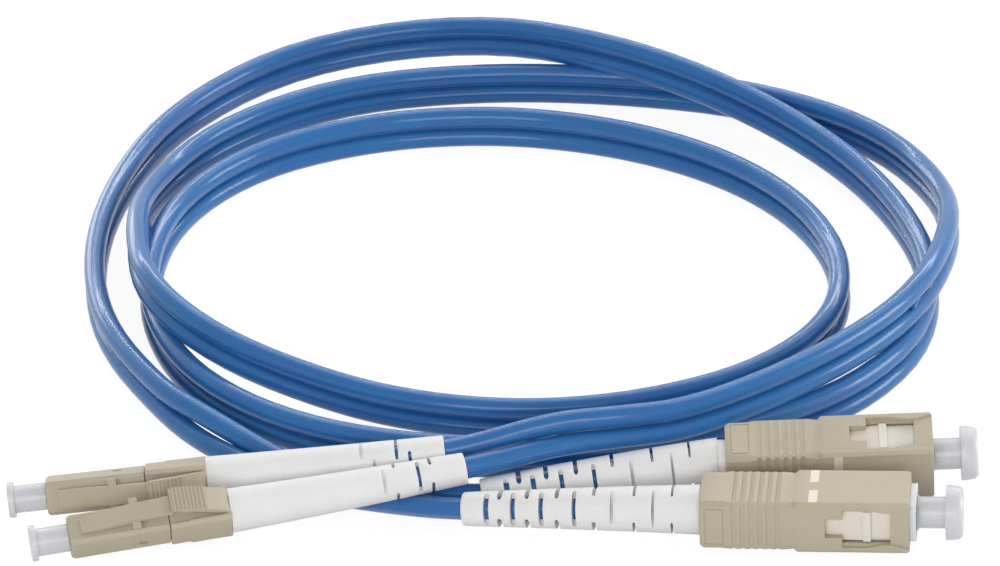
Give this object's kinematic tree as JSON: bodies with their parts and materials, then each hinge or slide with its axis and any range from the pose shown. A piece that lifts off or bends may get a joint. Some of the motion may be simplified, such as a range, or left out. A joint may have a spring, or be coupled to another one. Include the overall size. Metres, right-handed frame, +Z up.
{
  "type": "duplex fibre patch cord with sc and lc connectors",
  "caption": "Duplex fibre patch cord in a coil, with capped SC push-pull connectors at one end and capped LC latch connectors at the other.",
  "frame": {"origin": "centre of the end face of the front SC plug's ferrule", "axes": "+X the way that plug goes into its adapter, +Z up, away from the surface the cord lies on, +Y towards the coil"},
  "size_m": [0.1266, 0.1428, 0.0122],
  "materials": {
    "housing_beige": "moulded, fine matte grain",
    "frame_cream": "moulded, smooth",
    "boot_white": "soft moulded, matte",
    "cap_milky": "translucent milky polymer",
    "ferrule_zirconia": "polished ceramic",
    "flange_metal": "turned",
    "spring_steel": "drawn wire",
    "stop_metal": "nickel plated, turned",
    "crimp_metal": "satin",
    "cord_blue": "semi-gloss cable jacket"
  },
  "bodies": {
    "cord_set": {"sc_front_plug_frame": "frame_cream", "sc_front_spring_stop": "stop_metal", "sc_front_crimp_sleeve": "crimp_metal", "sc_front_boot": "boot_white", "sc_rear_plug_frame": "frame_cream", "sc_rear_spring_stop": "stop_metal", "sc_rear_crimp_sleeve": "crimp_metal", "sc_rear_boot": "boot_white", "lc_front_front_housing": "housing_beige", "lc_front_rear_housing": "housing_beige", "lc_front_crimp_sleeve": "crimp_metal", "lc_front_boot": "boot_white", "lc_rear_front_housing": "housing_beige", "lc_rear_rear_housing": "housing_beige", "lc_rear_crimp_sleeve": "crimp_metal", "lc_rear_boot": "boot_white", "cord_coil": "cord_blue", "sc_front_cord": "cord_blue", "sc_rear_cord": "cord_blue", "lc_front_cord": "cord_blue", "lc_rear_cord": "cord_blue"},
    "sc_front_ferrule_unit": {"sc_front_ferrule": "ferrule_zirconia", "sc_front_ferrule_flange": "flange_metal", "sc_front_spring": "spring_steel"},
    "sc_front_cap": {"sc_front_dust_cap": "cap_milky"},
    "sc_front_shell": {"sc_front_outer_housing": "housing_beige", "sc_front_marks": "frame_cream"},
    "sc_rear_ferrule_unit": {"sc_rear_ferrule": "ferrule_zirconia", "sc_rear_ferrule_flange": "flange_metal", "sc_rear_spring": "spring_steel"},
    "sc_rear_cap": {"sc_rear_dust_cap": "cap_milky"},
    "sc_rear_shell": {"sc_rear_outer_housing": "housing_beige", "sc_rear_marks": "frame_cream"},
    "lc_front_ferrule_unit": {"lc_front_ferrule": "ferrule_zirconia", "lc_front_ferrule_flange": "flange_metal", "lc_front_spring": "spring_steel"},
    "lc_front_cap": {"lc_front_dust_cap": "cap_milky"},
    "lc_front_trigger_body": {"lc_front_trigger": "housing_beige"},
    "lc_front_latch_body": {"lc_front_latch": "housing_beige"},
    "lc_rear_ferrule_unit": {"lc_rear_ferrule": "ferrule_zirconia", "lc_rear_ferrule_flange": "flange_metal", "lc_rear_spring": "spring_steel"},
    "lc_rear_cap": {"lc_rear_dust_cap": "cap_milky"},
    "lc_rear_trigger_body": {"lc_rear_trigger": "housing_beige"},
    "lc_rear_latch_body": {"lc_rear_latch": "housing_beige"}
  },
  "joints": [
    {"name": "sc_front_ferrule_float", "type": "slide", "parent": "cord_set", "child": "sc_front_ferrule_unit", "axis": [1, 0, 0], "range_m": [-0.0008, 0], "stiffness_N_per_m": 1500, "springref_m": 0.004},
    {"name": "sc_front_cap_pull", "type": "slide", "parent": "cord_set", "child": "sc_front_cap", "axis": [1, 0, 0], "range_m": [0, 0.01]},
    {"name": "sc_front_housing_slide", "type": "slide", "parent": "cord_set", "child": "sc_front_shell", "axis": [1, 0, 0], "range_m": [0, 0.001]},
    {"name": "sc_rear_ferrule_float", "type": "slide", "parent": "cord_set", "child": "sc_rear_ferrule_unit", "axis": [0.9967, 0.0802, 0.0105], "range_m": [-0.0008, 0], "stiffness_N_per_m": 1500, "springref_m": 0.004},
    {"name": "sc_rear_cap_pull", "type": "slide", "parent": "cord_set", "child": "sc_rear_cap", "axis": [0.9967, 0.0802, 0.0105], "range_m": [0, 0.01]},
    {"name": "sc_rear_housing_slide", "type": "slide", "parent": "cord_set", "child": "sc_rear_shell", "axis": [0.9967, 0.0802, 0.0105], "range_m": [-0.001, 0]},
    {"name": "lc_front_ferrule_float", "type": "slide", "parent": "cord_set", "child": "lc_front_ferrule_unit", "axis": [-0.9634, -0.2636, -0.0488], "range_m": [-0.0006, 0], "stiffness_N_per_m": 1200, "springref_m": 0.004},
    {"name": "lc_front_cap_pull", "type": "slide", "parent": "cord_set", "child": "lc_front_cap", "axis": [-0.9634, -0.2636, -0.0488], "range_m": [0, 0.008]},
    {"name": "lc_front_trigger_press", "type": "hinge", "parent": "cord_set", "child": "lc_front_trigger_body", "pos_m": [-0.09098, -0.00326, 0.00231], "axis": [0.2521, -0.8289, -0.4994], "range_deg": [0, 10], "stiffness_Nm_per_rad": 0.02, "springref_deg": -5.73},
    {"name": "lc_front_latch_flex", "type": "hinge", "parent": "cord_set", "child": "lc_front_latch_body", "pos_m": [-0.10856, -0.00781, 0.00099], "axis": [0.2521, -0.8289, -0.4994], "range_deg": [-4.6, 0]},
    {"name": "lc_rear_ferrule_float", "type": "slide", "parent": "cord_set", "child": "lc_rear_ferrule_unit", "axis": [-0.9877, -0.1476, -0.0523], "range_m": [-0.0006, 0], "stiffness_N_per_m": 1200, "springref_m": 0.004},
    {"name": "lc_rear_cap_pull", "type": "slide", "parent": "cord_set", "child": "lc_rear_cap", "axis": [-0.9877, -0.1476, -0.0523], "range_m": [0, 0.008]},
    {"name": "lc_rear_trigger_press", "type": "hinge", "parent": "cord_set", "child": "lc_rear_trigger_body", "pos_m": [-0.0947, 0.00303, 0.00112], "axis": [0.0927, -0.2818, -0.955], "range_deg": [0, 10], "stiffness_Nm_per_rad": 0.02, "springref_deg": -5.73},
    {"name": "lc_rear_latch_flex", "type": "hinge", "parent": "cord_set", "child": "lc_rear_latch_body", "pos_m": [-0.11273, 0.00081, 0.00003], "axis": [0.0927, -0.2818, -0.955], "range_deg": [-4.6, 0]}
  ],
  "couplings": [
    {"joint": "lc_front_latch_flex", "follows": "lc_front_trigger_press", "ratio": -0.45},
    {"joint": "lc_rear_latch_flex", "follows": "lc_rear_trigger_press", "ratio": -0.45}
  ]
}
